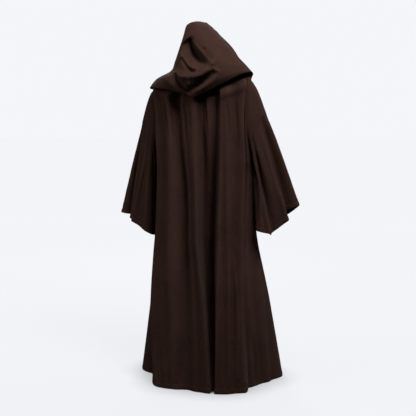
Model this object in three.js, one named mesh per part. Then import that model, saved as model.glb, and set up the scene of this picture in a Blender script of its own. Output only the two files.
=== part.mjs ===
// A floor-length hooded cloak with wide bell sleeves, in the shape it takes when it is worn.
// Millimetres. The origin is between the shoulders at the base of the neck, where the cloak is held up.
// Left and right are as worn: +X is the left, -Y the front and +Z up.
import * as THREE from "three";

// Driving sizes
const CLOTH = 2; // thickness of the heavy cloth
const SEAM = 0.3; // gap between two panels along their seam
const LENGTH = 1505; // from the origin down to the hem
const NECK_OPENING = 8; // half the gap between the fronts at the throat
const HEM_OPENING = 28; // half the gap between the fronts at the hem
const ARMHOLE_SPREAD = 0.115; // from the side line to the armhole's edges, as a share of the half girth
const ARMHOLE_CLEARANCE = 1; // how far outside the body's edge the sleeve's seam lies
const SLEEVE_HEAD_LIFT = 14; // how far the sleeve's head stands out over the arm
const SLEEVE_HEAD_RISE = 0.3; // how much of that lift is upwards
const SLEEVE_HEAD_QUICKNESS = 20; // the higher, the sooner the head reaches its lift below the seam
const COWL_V_LEFT = 0.62; // how the hood's lower fold rises from the centre back: the lower, the faster
const COWL_V_RIGHT = 1.3;
const HOOD_TURN = THREE.MathUtils.degToRad(8); // the hood faces a little to the right
const HOOD_TURN_FROM = 40; // height where the hood starts to turn
const HOOD_TURN_TO = 220; // height where it has turned all the way
const HOOD_HALF_GIRTH = 480; // from the centre back to the front edge, round the hood's middle
const FOLD_SOFTNESS = 2.4; // the higher, the narrower a hood fold is for its width
const FOLD_SAMPLES = 12; // steps along a hood fold's curve

// Reads a short table: the first line names the columns, and the first column names the rows.
function table(text) {
  const [header, ...lines] = text.trim().split("\n").map((line) => line.trim().split(/\s+/));
  const value = (cell, i) => (i ? Number(cell) : cell);
  return lines.map((cells) => Object.fromEntries(header.map((name, i) => [name, value(cells[i], i)])));
}

// The body's rings, from the neckline to the hem. left and right are half widths, back and front are
// depths from the origin's axis, and z_left, z_right, z_back and z_front are the ring's heights there.
const BODY_RINGS = table(`
  name         left  right  back  front  z_left  z_right  z_back  z_front
  neck           80     80    68     76      24       30      34      -36
  slope         145    145   100     96       6       30       2      -66
  shoulder      228    220   134    112     -12       30     -40      -98
  sleeve_head   273    250   146    124     -30       14     -84     -130
  chest         264    256   152    138    -190     -180    -205     -215
  underarm      250    262   160    150    -360     -360    -360     -360
  waist         240    263   172    165    -520     -520    -520     -520
  hip           246    274   200    198    -770     -770    -770     -770
  knee          284    322   240    245   -1090    -1090   -1090    -1090
  hem           322    378   275    292   -${LENGTH}    -${LENGTH}   -${LENGTH}   -${LENGTH}
`);
const RING = Object.fromEntries(BODY_RINGS.map((ring, i) => [ring.name, i]));

// The lines that the body's folds run along, from the right side seam over the back to the left one.
// chest, hip, knee and hem say where a line runs, as a share of the half girth from the centre back,
// positive on the left. out_* is how far the cloth stands out there, or lies in where negative, in
// millimetres.
const BACK_FOLDS = table(`
  name               chest     hip    knee     hem   out_chest  out_hip  out_knee  out_hem
  right_seam        -0.500  -0.500  -0.500  -0.500           0        6         8      -14
  side_rib          -0.474  -0.430  -0.390  -0.400          -2      -14        -6      -38
  side_valley       -0.444  -0.362  -0.305  -0.300         -32      -12         8      -30
  pleat_edge_right  -0.402  -0.316  -0.257  -0.250          10       20        28       32
  pleat_dip         -0.300  -0.270  -0.225  -0.210         -10        6        16       28
  pleat_top         -0.212  -0.216  -0.190  -0.170          14       28        34       34
  pleat_edge_left   -0.175  -0.158  -0.138  -0.121          14       30        34       30
  deep_valley       -0.146  -0.118  -0.118  -0.115         -30      -96       -98      -26
  small_rib         -0.085  -0.092  -0.103  -0.111         -10      -84       -86      -28
  small_valley      -0.050  -0.070  -0.090  -0.107         -24      -44       -52      -20
  thin_rib          -0.003  -0.056  -0.081  -0.101          12       26        28       24
  small_gather       0.070   0.000  -0.040  -0.050          -8       -2         4        8
  broad_valley       0.118   0.060   0.020   0.000         -28      -14        -8       -4
  panel_rib          0.176   0.165   0.120   0.070          12        8         6       10
  shoulder_valley    0.255   0.240   0.200   0.110          -2        8        12       20
  panel_edge         0.335   0.320   0.265   0.155           8       18        20       26
  step_valley        0.430   0.420   0.360   0.340         -10       -8       -34      -60
  left_seam          0.500   0.500   0.500   0.500           0        4         4       22
`);

// The same for the left front and the right front, from the side seam to the free edge.
const LEFT_FOLDS = table(`
  name          chest    hip   knee    hem   out_chest  out_hip  out_knee  out_hem
  side_seam     0.500  0.500  0.500  0.500           0        4         4       22
  side_valley   0.580  0.575  0.570  0.570         -12      -16       -22      -26
  side_rib      0.660  0.655  0.650  0.650          10       14        20       28
  valley        0.740  0.740  0.740  0.740         -14      -18       -24      -30
  rib           0.820  0.825  0.830  0.835          10       14        20       26
  edge_valley   0.900  0.905  0.910  0.915         -10      -14       -18      -20
  free_edge     1.000  1.000  1.000  1.000           2        4         8       10
`);
const RIGHT_FOLDS = table(`
  name           chest     hip    knee     hem   out_chest  out_hip  out_knee  out_hem
  side_seam     -0.500  -0.500  -0.500  -0.500           0        6         8      -14
  side_rib      -0.570  -0.580  -0.590  -0.604          -4        4        24       42
  valley        -0.660  -0.670  -0.680  -0.690         -14      -18       -24      -30
  rib           -0.760  -0.765  -0.770  -0.775          10       14        20       28
  edge_valley   -0.855  -0.860  -0.865  -0.870         -14      -18       -22      -26
  edge_rib      -0.930  -0.930  -0.935  -0.940           5        8        12       14
  free_edge     -1.000  -1.000  -1.000  -1.000           0       -2        -4       -6
`);

// Where each cuff's edge runs. round is the place on the sleeve's girth, from the top of the arm (0) over
// the back.
const RIGHT_CUFF = table(`
  name         round     x     y     z
  outer_top     0.00  -478   -96  -612
  outer_fold    0.12  -424   -38  -640
  back_corner   0.24  -450    24  -672
  lowest        0.39  -374    84  -742
  inner_back    0.50  -288    50  -724
  inner_front   0.68  -312  -120  -716
  front         0.84  -396  -192  -672
`);
const LEFT_CUFF = table(`
  name         round    x     y     z
  outer_top     0.00  501   -96  -676
  outer_fold    0.12  422   -40  -688
  back_corner   0.24  388    36  -708
  lowest        0.42  276    24  -776
  inner_back    0.55  262   -70  -770
  inner_front   0.70  300  -190  -726
  front         0.86  396  -200  -686
`);

// The hood's rings, from the neck seam out over the shoulders, round the lower fold and up to the crown's
// ridge. left, right, back and front are measured from the ring's middle, which stands to the left by
// middle. side is how far back the ring is widest, edge how far its front edge stands from the middle,
// and bow how far it is raised between the centre back and its sides.
const HOOD_RINGS = table(`
  name        middle  left  right  back  front  side  edge  z_back  z_left  z_right  z_front  bow
  neck_seam        0    81     81    69     77     0    13      35      25       32      -35    0
  underlay         0   150    150   104    102     0    20      22      24       44      -46    2
  shoulder         0   228    218   142    124     0    28     -28       4       54      -76    4
  fold_in          0   264    244   160    136     4    33     -64     -12       58      -96    6
  fold_low         0   277    254   172    144     6    35     -74     -22       53     -100    8
  fold_out         0   277    258   180    150     8    38     -64     -16       56      -92    8
  cowl             0   236    250   194    158     8    50     -28      24       66      -40    8
  collar           0   158    224   194    160     6    74      34      62       94       34    6
  jaw              4   130    180   184    158     0    94     105     112      140      104    0
  ear             10    93    136   168    156    -6    98     170     176      190      168    0
  temple          14    64     90   150    140   -12    50     228     234      236      230    0
  crown           16    46     42   126    104   -14    24     278     290      282      282    0
  ridge           16     0      0   106     62   -20     0     296     314      314      316    0
`);

const HOOD_RING = Object.fromEntries(HOOD_RINGS.map((ring, i) => [ring.name, i]));

// The hood's deep folds, each a curve through three places. a is the place round the hood, from the
// centre back (0) to the front edge (1 on the left, -1 on the right), and z is its height. width and
// depth are in millimetres. lean makes the fold wider on one side of its curve and as much narrower on
// the other.
const HOOD_FOLDS = table(`
  name             a1   z1      a2   z2      a3   z3  width  lean  depth
  big_hollow     0.00  212   -0.07  142   -0.15   84     56   0.3    -56
  hollow_rib    -0.06  214   -0.16  158   -0.19   84     24     0     14
  smile_rib      0.12  150    0.03   78   -0.14   70     24     0     16
  small_hollow   0.16  106    0.09   66   -0.02   48     22     0    -26
  swag_rib       0.20   56    0.00   26   -0.14   62     24     0     18
  dark_hollow   -0.16   52   -0.06    0    0.03  -42     32   0.2    -40
  flap_hollow    0.16   48    0.07  -10    0.01  -54     15     0    -22
  panel_rib     -0.19   70   -0.12    8   -0.03  -52     20     0     10
  dimple        -0.17  170   -0.19  158   -0.21  146     12     0     -6
`);

// How many rows of faces lie between each ring and the next.
const BODY_STEPS = {
  neck: 2, slope: 2, shoulder: 2, sleeve_head: 5, chest: 5, underarm: 2, waist: 3, hip: 4, knee: 4,
};
const HOOD_STEPS = {
  neck_seam: 1, underlay: 1, shoulder: 1, fold_in: 1, fold_low: 1, fold_out: 2,
  cowl: 3, collar: 4, jaw: 4, ear: 4, temple: 3, crown: 2,
};
const FOLD_STEPS = 2; // columns of faces between each fold line and the next
const SLEEVE_ROWS = 11;
const HOOD_COLUMNS = 18; // on each half

const { clamp, lerp, smoothstep } = THREE.MathUtils;

// A smooth curve through evenly spaced values.
function through(values, at) {
  const i = clamp(Math.floor(at), 0, values.length - 2);
  const t = at - i;
  const a = values[Math.max(i - 1, 0)];
  const b = values[i];
  const c = values[i + 1];
  const d = values[Math.min(i + 2, values.length - 1)];
  return b + 0.5 * t * (c - a + t * (2 * a - 5 * b + 4 * c - d + t * (3 * (b - c) + d - a)));
}

const along = (rings, name, at) => through(rings.map((ring) => ring[name]), at);

// The rows' places among the rings.
function rowsOf(rings, steps) {
  const between = rings.slice(0, -1).flatMap(({ name }, i) => (
    Array.from({ length: steps[name] }, (_, k) => i + (k + 1) / steps[name])
  ));
  return [0, ...between];
}

const BODY_ROWS = rowsOf(BODY_RINGS, BODY_STEPS);
const HOOD_ROWS = rowsOf(HOOD_RINGS, HOOD_STEPS);

// A point of the body's outer face. round is its share of the half girth, at its place among the rings,
// and out how far it stands out of the ring.
function bodyPoint(round, at, out) {
  const sine = Math.sin(Math.PI * round);
  const cosine = Math.cos(Math.PI * round);
  const half = along(BODY_RINGS, sine > 0 ? "left" : "right", at);
  const depth = along(BODY_RINGS, cosine > 0 ? "back" : "front", at);
  const sideHeight = along(BODY_RINGS, sine > 0 ? "z_left" : "z_right", at);
  const middleHeight = along(BODY_RINGS, cosine > 0 ? "z_back" : "z_front", at);
  const point = new THREE.Vector3(half * sine, depth * cosine, lerp(middleHeight, sideHeight, sine * sine));
  const outward = new THREE.Vector3(sine / half, cosine / depth, 0).normalize();
  return point.addScaledVector(outward, out);
}

// How far along its fall a fold has come, in steps of chest, hip, knee and hem.
function fall(at) {
  return at < RING.hip ? clamp((at - RING.chest) / (RING.hip - RING.chest), 0, 1) : at - RING.hip + 1;
}

// Where a panel's cloth runs at a place across its fold lines, and how far it stands out there. shifted
// moves a fold line's share of the girth where the armhole or the front edge presses it aside.
function foldAt(folds, place, at, shifted = (round) => round) {
  const line = Math.min(Math.floor(place), folds.length - 2);
  const share = place - line;
  const down = fall(at);
  const round = [0, 1].map((k) => {
    const { chest, hip, knee, hem } = folds[line + k];
    return shifted(through([chest, hip, knee, hem], down));
  });
  const out = [0, 1].map((k) => {
    const { out_chest, out_hip, out_knee, out_hem } = folds[line + k];
    return through([out_chest, out_hip, out_knee, out_hem], down);
  });
  return {
    round: lerp(...round, share),
    out: lerp(...out, smoothstep(share, 0, 1)) * smoothstep(at, RING.slope, RING.sleeve_head),
  };
}

// How far the armhole's edge stands from the side line, as a share of the half girth.
function armholeSpread(at) {
  const share = clamp((at - RING.sleeve_head) / (RING.underarm - RING.sleeve_head), 0, 1);
  return ARMHOLE_SPREAD * Math.sqrt(1 - (2 * share - 1) ** 2);
}

// How far the armhole presses the fold lines beside it towards the middle of their panel.
function armholePush(at) {
  const above = smoothstep(at, RING.shoulder, RING.chest);
  const below = 1 - smoothstep(at, RING.chest, (RING.waist + RING.hip) / 2);
  return ARMHOLE_SPREAD * above * below;
}

// A wall of cloth over a grid of outer points, whose rows run downwards and whose columns run to the
// left, both as seen from outside. closed joins the last column to the first. The edges named in seams
// are set back by half a seam. outwards, where given, sets the direction in which a point of a shared
// seam is offset.
function clothWall(outer, { closed = false, seams = [], outwards = () => null } = {}) {
  const rows = outer.length;
  const columns = outer[0].length;
  const wrap = (j) => (closed ? (j + columns) % columns : clamp(j, 0, columns - 1));
  const inner = outer.map((row, i) => row.map((point, j) => {
    const down = outer[Math.min(i + 1, rows - 1)][j].clone().sub(outer[Math.max(i - 1, 0)][j]);
    const across = row[wrap(j + 1)].clone().sub(row[wrap(j - 1)]);
    const normal = outwards(i, j) ?? across.cross(down).normalize();
    return point.clone().addScaledVector(normal, -CLOTH);
  }));
  const setBack = (layer, i, j, i2, j2) => {
    layer[i][j].add(layer[i2][j2].clone().sub(layer[i][j]).setLength(SEAM / 2));
  };
  for (const layer of [outer, inner]) {
    for (let j = 0; j < columns; j += 1) {
      if (seams.includes("top")) setBack(layer, 0, j, 1, j);
    }
    for (let i = 0; i < rows; i += 1) {
      if (seams.includes("first")) setBack(layer, i, 0, i, 1);
      if (seams.includes("last")) setBack(layer, i, columns - 1, i, columns - 2);
    }
  }
  const index = [];
  const quad = (a, b, c, d) => index.push(a, b, c, a, c, d);
  const out = (i, j) => i * columns + wrap(j);
  const into = (i, j) => rows * columns + out(i, j);
  const cells = closed ? columns : columns - 1;
  for (let i = 0; i < rows - 1; i += 1) {
    for (let j = 0; j < cells; j += 1) {
      quad(out(i, j), out(i, j + 1), out(i + 1, j + 1), out(i + 1, j));
      quad(into(i, j), into(i + 1, j), into(i + 1, j + 1), into(i, j + 1));
    }
  }
  for (let j = 0; j < cells; j += 1) {
    quad(out(0, j), into(0, j), into(0, j + 1), out(0, j + 1));
    quad(out(rows - 1, j), out(rows - 1, j + 1), into(rows - 1, j + 1), into(rows - 1, j));
  }
  for (let i = 0; i < rows - 1 && !closed; i += 1) {
    quad(out(i, 0), out(i + 1, 0), into(i + 1, 0), into(i, 0));
    quad(out(i, columns - 1), into(i, columns - 1), into(i + 1, columns - 1), out(i + 1, columns - 1));
  }
  const geometry = new THREE.BufferGeometry();
  const positions = [...outer.flat(), ...inner.flat()].flatMap((p) => [p.x, p.y, p.z]);
  geometry.setAttribute("position", new THREE.Float32BufferAttribute(positions, 3));
  geometry.setIndex(index);
  return geometry;
}

const cloak = new THREE.Group();
const heavyCloth = new THREE.MeshStandardMaterial({
  name: "heavy_brown_cloth",
  color: 0x2b1a13,
  roughness: 0.92,
  metalness: 0,
});

function sew(name, geometry) {
  geometry.computeVertexNormals();
  const mesh = new THREE.Mesh(geometry, heavyCloth);
  mesh.name = name;
  cloak.add(mesh);
}

// A panel's places across its fold lines.
function placesOf(folds) {
  return Array.from({ length: (folds.length - 1) * FOLD_STEPS + 1 }, (_, k) => k / FOLD_STEPS);
}

// The back, cut in one, from the right side seam to the left one.
function back() {
  const shifted = (at) => (round) => (
    Math.abs(round) === 0.5
      ? Math.sign(round) * (0.5 - armholeSpread(at))
      : round - armholePush(at) * (2 * round) ** 3
  );
  const grid = BODY_ROWS.map((at) => placesOf(BACK_FOLDS).map((place) => {
    const { round, out } = foldAt(BACK_FOLDS, place, at, shifted(at));
    return bodyPoint(round, at, out);
  }));
  const right = seamOutwards(grid, 0, -1);
  const left = seamOutwards(grid, grid[0].length - 1, 1);
  return clothWall(grid, { seams: ["first", "last"], outwards: (i, j) => right(i, j) ?? left(i, j) });
}

// The way that both panels are offset along a side seam, so that they meet edge to edge. At the armhole
// they are apart.
function seamOutwards(grid, column, side) {
  return (i, j) => {
    if (j !== column || (BODY_ROWS[i] > RING.sleeve_head && BODY_ROWS[i] < RING.underarm)) return null;
    const down = grid[Math.min(i + 1, grid.length - 1)][j].clone().sub(grid[Math.max(i - 1, 0)][j]);
    return new THREE.Vector3(-side * down.z, 0, side * down.x).normalize();
  };
}

// Turns the rows round, for a grid whose columns were listed the other way.
const mirrored = (grid) => grid.map((row) => [...row].reverse());

// Where a front's free edge runs, as a share of the half girth.
function frontEdge(at) {
  const opening = lerp(NECK_OPENING, HEM_OPENING, at / RING.hem);
  return 1 - opening / (along(BODY_RINGS, "left", at) * Math.PI);
}

// One front, from its side seam to its free edge. side is 1 on the left and -1 on the right.
function front(side, folds) {
  const shifted = (at) => (round) => {
    const across = 2 - 2 * Math.abs(round);
    const push = across === 1 ? armholeSpread(at) : armholePush(at) * across ** 3;
    return side * (lerp(frontEdge(at), 0.5, across) + push);
  };
  const grid = BODY_ROWS.map((at) => placesOf(folds).map((place) => {
    const { round, out } = foldAt(folds, place, at, shifted(at));
    return bodyPoint(round, at, out);
  }));
  if (side > 0) return clothWall(grid, { seams: ["first"], outwards: seamOutwards(grid, 0, 1) });
  const turned = mirrored(grid);
  return clothWall(turned, { seams: ["last"], outwards: seamOutwards(turned, turned[0].length - 1, -1) });
}

// The armhole's edge, from the top of the arm down the back, through the underarm and up the front.
function armhole(side) {
  const rows = BODY_ROWS.filter((at) => at >= RING.sleeve_head && at <= RING.underarm);
  const edge = [
    ...rows.map((at) => [0.5 - armholeSpread(at), at]),
    ...rows.slice(1, -1).reverse().map((at) => [0.5 + armholeSpread(at), at]),
  ];
  return edge.map(([round, at]) => {
    const { out } = foldAt(BACK_FOLDS, side > 0 ? BACK_FOLDS.length - 1 : 0, at);
    return bodyPoint(side * round, at, out + ARMHOLE_CLEARANCE);
  });
}

// A smooth closed curve through a cuff's named points.
function cuffPoint(cuff, round) {
  const next = cuff.findIndex((p) => p.round > round);
  const i = next < 0 ? cuff.length - 1 : next - 1;
  const pick = (k) => cuff[(k + cuff.length) % cuff.length];
  const end = i === cuff.length - 1 ? 1 : cuff[i + 1].round;
  const t = (round - cuff[i].round) / (end - cuff[i].round);
  const smooth = (axis) => through([i - 1, i, i + 1, i + 2].map((k) => pick(k)[axis]), 1 + t);
  return new THREE.Vector3(smooth("x"), smooth("y"), smooth("z"));
}

// A bell sleeve, from the armhole to the cuff.
function sleeve(side, cuff) {
  const start = armhole(side);
  const grid = Array.from({ length: SLEEVE_ROWS + 1 }, (_, i) => start.map((point, j) => {
    const down = i / SLEEVE_ROWS;
    const round = j / start.length;
    const top = Math.max(0, Math.cos(2 * Math.PI * round)) ** 2;
    const lift = SLEEVE_HEAD_LIFT * top * (1 - Math.exp(-SLEEVE_HEAD_QUICKNESS * down)) * (1 - down);
    const place = point.clone().lerp(cuffPoint(cuff, round), down);
    return place.add(new THREE.Vector3(side * lift, 0, SLEEVE_HEAD_RISE * lift));
  }));
  return clothWall(side > 0 ? mirrored(grid) : grid, { closed: true });
}

// How far the hood's folds stand out at a place round it and a height.
function hoodFolds(around, height) {
  let out = 0;
  for (const fold of HOOD_FOLDS) {
    let nearest = Infinity;
    let strength = 0;
    let side = 0;
    for (let k = 0; k <= FOLD_SAMPLES; k += 1) {
      const t = k / FOLD_SAMPLES;
      const [from, over, to] = [(1 - t) * (1 - 2 * t), 4 * t * (1 - t), t * (2 * t - 1)];
      const awayA = (around - from * fold.a1 - over * fold.a2 - to * fold.a3) * HOOD_HALF_GIRTH;
      const awayZ = height - from * fold.z1 - over * fold.z2 - to * fold.z3;
      const distance = Math.hypot(awayA, awayZ);
      if (distance < nearest) {
        nearest = distance;
        strength = Math.sqrt(over);
        const alongA = (4 * t - 3) * fold.a1 + (4 - 8 * t) * fold.a2 + (4 * t - 1) * fold.a3;
        const alongZ = (4 * t - 3) * fold.z1 + (4 - 8 * t) * fold.z2 + (4 * t - 1) * fold.z3;
        side = Math.sign(awayA * alongZ - awayZ * alongA * HOOD_HALF_GIRTH);
      }
    }
    const reach = fold.width * (1 + fold.lean * side);
    out += fold.depth * strength * Math.exp(-FOLD_SOFTNESS * (nearest / reach) ** 2);
  }
  return out;
}

// A point of the hood's outer face. around runs from the centre back (0) to the front edge (1), on one
// side.
function hoodPoint(side, around, at) {
  const ring = (name) => along(HOOD_RINGS, name, at);
  const half = ring(side > 0 ? "left" : "right");
  const sideHeight = ring(side > 0 ? "z_left" : "z_right");
  const behind = around < 0.5;
  const angle = Math.PI * (behind ? around : around - 0.5);
  const sine = Math.sin(angle);
  const cosine = Math.cos(angle);
  const cowl = clamp(at / HOOD_RING.fold_in, 0, 1) - smoothstep(at, HOOD_RING.jaw, HOOD_RING.temple);
  const steepness = lerp(2, side > 0 ? COWL_V_LEFT : COWL_V_RIGHT, cowl);
  const rise = sine ** steepness;
  const x = behind ? half * sine : lerp(ring("edge"), half, cosine);
  const y = behind ? lerp(ring("side"), ring("back"), cosine) : lerp(ring("side"), -ring("front"), sine);
  const raised = behind ? ring("bow") * Math.sin(2 * angle) : 0;
  const z = behind ? lerp(ring("z_back"), sideHeight, rise) : lerp(sideHeight, ring("z_front"), sine * sine);
  const turn = HOOD_TURN * smoothstep(z, HOOD_TURN_FROM, HOOD_TURN_TO);
  const point = new THREE.Vector3(ring("middle") + side * x, y, z + raised);
  const outward = new THREE.Vector3(side * Math.sin(Math.PI * around), Math.cos(Math.PI * around), 0);
  if (at > HOOD_RING.fold_low) point.addScaledVector(outward, hoodFolds(side * around, point.z));
  return point.applyAxisAngle(new THREE.Vector3(0, 0, 1), -turn);
}

// Half of the hood, from the centre seam to the front edge.
function hoodHalf(side) {
  const rows = [...HOOD_ROWS].reverse();
  const columns = Array.from({ length: HOOD_COLUMNS + 1 }, (_, j) => j / HOOD_COLUMNS);
  // The columns are closer together towards the back, where the folds are.
  const half = rows.map((at) => columns.map((share) => hoodPoint(side, 0.5 * share * (1 + share), at)));
  const grid = side > 0 ? half : mirrored(half);
  const centre = side > 0 ? 0 : HOOD_COLUMNS;
  // Along the seam over the crown and down the back, both halves are offset the same way.
  const outwards = (i, j) => {
    if (i > 0 && j !== centre) return null;
    const before = i > 0 ? grid[i - 1][centre] : grid[0][clamp(j + side, 0, HOOD_COLUMNS)];
    const after = i > 0 || j === centre ? grid[Math.min(i + 1, rows.length - 1)][centre] : grid[0][j - side];
    const tangent = after.clone().sub(before);
    return new THREE.Vector3(0, -tangent.z, tangent.y).normalize();
  };
  return clothWall(grid, { seams: ["top", side > 0 ? "first" : "last"], outwards });
}

sew("back", back());
sew("front_left", front(1, LEFT_FOLDS));
sew("front_right", front(-1, RIGHT_FOLDS));
sew("sleeve_left", sleeve(1, LEFT_CUFF));
sew("sleeve_right", sleeve(-1, RIGHT_CUFF));
sew("hood_left", hoodHalf(1));
sew("hood_right", hoodHalf(-1));

export default cloak;
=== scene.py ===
# The looks of a floor-length hooded cloak with wide bell sleeves, in the shape that it takes when it is worn.
# Metres. +X is the cloak's left as worn, -Y its front and +Z up. The origin is at the base of the neck.
import math

import bmesh
import bpy
import numpy as np
from mathutils import Matrix, Vector, noise


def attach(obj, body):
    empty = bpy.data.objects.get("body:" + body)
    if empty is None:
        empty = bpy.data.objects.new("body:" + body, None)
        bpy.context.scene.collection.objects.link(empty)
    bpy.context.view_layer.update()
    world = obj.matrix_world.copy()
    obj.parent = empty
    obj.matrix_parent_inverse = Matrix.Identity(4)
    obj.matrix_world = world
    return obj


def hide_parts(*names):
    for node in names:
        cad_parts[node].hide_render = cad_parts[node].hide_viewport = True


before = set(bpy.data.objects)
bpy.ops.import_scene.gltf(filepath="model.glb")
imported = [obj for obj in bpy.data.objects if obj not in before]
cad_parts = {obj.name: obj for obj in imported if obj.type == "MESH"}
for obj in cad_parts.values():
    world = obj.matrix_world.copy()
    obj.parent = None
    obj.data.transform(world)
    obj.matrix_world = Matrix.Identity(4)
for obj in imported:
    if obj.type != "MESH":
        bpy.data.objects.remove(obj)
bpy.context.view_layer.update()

# The view, from behind and a little to the cloak's right, from just below its shoulders
PICTURE = 416  # pixels along each side
CAMERA_TURN = math.radians(198)
CAMERA_DISTANCE = 4.0
CAMERA_HEIGHT = -0.19
FOCUS_PIXELS = 783
HORIZON_ROW = 122
AXIS_COLUMN = 203.5
SENSOR = 36.0

# The cut, as in the solids
MM = 0.001
CLOTH = 0.002  # thickness of the heavy cloth
LENGTH = 1.505  # from the origin down to the hem
NECK_OPENING = 0.008  # half the gap between the fronts at the throat
HEM_OPENING = 0.028  # half the gap between the fronts at the hem
ARMHOLE_SPREAD = 0.115  # from the side line to the armhole's edges, as a share of the half girth
ARMHOLE_CLEARANCE = 0.001
SLEEVE_HEAD_LIFT = 0.014
SLEEVE_HEAD_RISE = 0.3
SLEEVE_HEAD_QUICKNESS = 20
COWL_V_LEFT = 0.62
COWL_V_RIGHT = 1.3
HOOD_TURN = math.radians(8)
HOOD_TURN_FROM = 0.040
HOOD_TURN_TO = 0.220
HOOD_HALF_GIRTH = 0.480
BODY_HALF_GIRTH = 0.900  # for the size of a crease across the body
SLEEVE_GIRTH = 0.800  # the same round a sleeve
FOLD_SOFTNESS = 2.4
CREASE_STEPS = 12  # straight steps that a crease's curve is followed in

# The sewing
HEM_DEPTH = 0.025  # from a turned edge to its line of stitches
TURN_UP = 0.0009  # how far the doubled cloth of a turned edge stands out
STITCH_DIP = 0.0016  # how deep a line of stitches pulls the cloth in
STITCH_DIP_WIDTH = 0.0028
TURN_STEP = 0.002  # half the width of the step down from a turned edge to the single cloth
TURN_START = 0.012  # how far from a seam the turned edge reaches its full form
EDGE_ROLL = 0.0012
EDGE_ROLL_WIDTH = 0.003
PUCKER = 0.0011  # how far the cloth gathers up between the stitches
PUCKER_LENGTH = 0.034
PUCKER_REACH = 0.014  # how far from its line of stitches the cloth gathers
PUCKER_GROUP = 5  # puckers that draw together and apart in turn
PUCKER_WANDER = 1.3  # how unevenly they do
SEAM_DIP = 0.0022  # how deep a seam between two panels lies
SEAM_WIDTH = 0.0035
BODY_AXIS = (0.0, 0.0, 0.0)  # a place on the upright line that the body's seams are pulled towards
HOOD_MIDDLE = (0.010, -0.020, 0.120)
STITCH_STEP = 0.006
STITCH_SIZE = (0.0021, 0.0004, 0.0003)  # half its length, width and height
SAME_PLACE = 1e-6  # points this near each other are one
TINY = 1e-12

# The wear, and the painted highlight along ridges
RIDGE_HEIGHT = 0.006  # a ridge that stands this far out is rubbed most and gets the most painted highlight
RIDGE_REACH = 3  # columns to each side that a ridge is measured against
WORN_EDGE = 0.006  # how far the wear of a turned edge reaches

# The grids
GRAIN = 0.008  # how far apart the points of the body and sleeves are
HOOD_GRAIN = 0.006
LEAST_ROWS = 3  # from one ring to the next
BACK_COLUMNS = 9  # from one fold line to the next
FRONT_COLUMNS = 10
HOOD_COLUMNS = 80
SLEEVE_COLUMNS = 112
NEAR_HEM = [1.35, 1.2, 1.1, 1.0, 0.9, 0.78, 0.6, 0.4, 0.2, 0.08, 0.0]  # rows, in hem depths from the edge
HEM_ROWS_CLEAR = 0.05  # the least step to them from the plain rows, in hem depths
CUFF_ROWS_CLEAR = 0.004  # the same on a sleeve, as a share of its length
NEAR_SEAM = np.array([0.02, 0.05, 0.09])  # columns beside a seam, as shares of the step between fold lines
NEAR_FRONT_STITCHES = np.arange(0.15, 0.42, 0.03)  # the same beside the stitches of a free front edge
NEAR_HOOD_STITCHES = np.linspace(0.93, 0.985, 9)  # as shares of the hood's columns
SHARE_DIGITS = 6  # columns that agree to so many digits are one
UNEVEN = 0.0022  # how far the cloth strays from an even fall
UNEVEN_CALM = 0.03  # how far from a seam it begins to

# The finishes
WHOLE = (0.0, 1.0)
WAVE_LENGTH = 0.314  # a wave texture's length at a scale of 1
RIB_SIZE = 0.0013  # the twill's ribs
RIB_WANDER = {"Distortion": 0.6, "Detail": 1.0}
THREAD_HEIGHT = (0.6, 1.0)  # between the threads of a rib, and on them
TWILL_TONE = (0.35, 0.65)  # in the dips of the twill, and on its ribs
NAP_SIZES = [
    # name, how many to a metre, detail
    ("Fibres", 620.0, 3.0),
    ("Tufts", 95.0, 4.0),
    ("Patches", 9.0, 3.0),
]
NAP_ROUGHNESS = 0.6
NAP_SPREAD = (0.3, 0.7)  # the part of the noise's range that is used
NAP_HEIGHT = 0.0012
NAP_STRENGTH = 0.9
DARK_CLOTH = (0.026, 0.0130, 0.0112, 1)
LIGHT_CLOTH = (0.066, 0.0320, 0.0260, 1)
WARM_CLOTH = (0.056, 0.0250, 0.0145, 1)
# Paler cloth: real wear along the turned edges, and a painted highlight along the ridges
WORN_AND_HIGHLIT_CLOTH = (0.105, 0.0560, 0.0430, 1)
DARK_THREAD = (0.018, 0.0095, 0.0075, 1)
LIGHT_THREAD = (0.050, 0.0270, 0.0200, 1)
TONE_WEIGHTS = {"Tone": 0.25, "Fibres": 0.2, "Tufts": 0.25, "Patches": 0.3}
WARM_WEIGHTS = {"Patches": 0.6}
# What makes the cloth paler: ridges give a painted highlight (a little less in valleys), turned edges give
# real wear, and tufts vary it
WEAR_AND_HIGHLIGHT_WEIGHTS = {"ridge": 0.35, "worn_edge": 0.3, "Tufts": 0.15}
HEIGHT_WEIGHTS = {"Height": 0.35, "Fibres": 0.25, "Tufts": 0.7}
THREAD_WEIGHTS = {"Fibres": 0.6, "Tufts": 0.4}
FULL_WEAR_AND_HIGHLIGHT = 0.8
WEAR_AND_HIGHLIGHT_SHARE = 0.5  # how far the colour has changed there
CLOTH_ROUGHNESS = (0.95, 0.78)  # where the cloth is dark and where it is light
CLOTH_SHINE = {
    "Specular IOR Level": 0.06,
    "Sheen Weight": 0.03,
    "Sheen Roughness": 0.45,
    "Sheen Tint": (1.0, 0.86, 0.78, 1),
}
THREAD_ROUGHNESS = (0.75, 0.55)
THREAD_RELIEF = 0.0001
THREAD_STRENGTH = 0.5
THREAD_SHINE = {"Specular IOR Level": 0.2}

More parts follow.
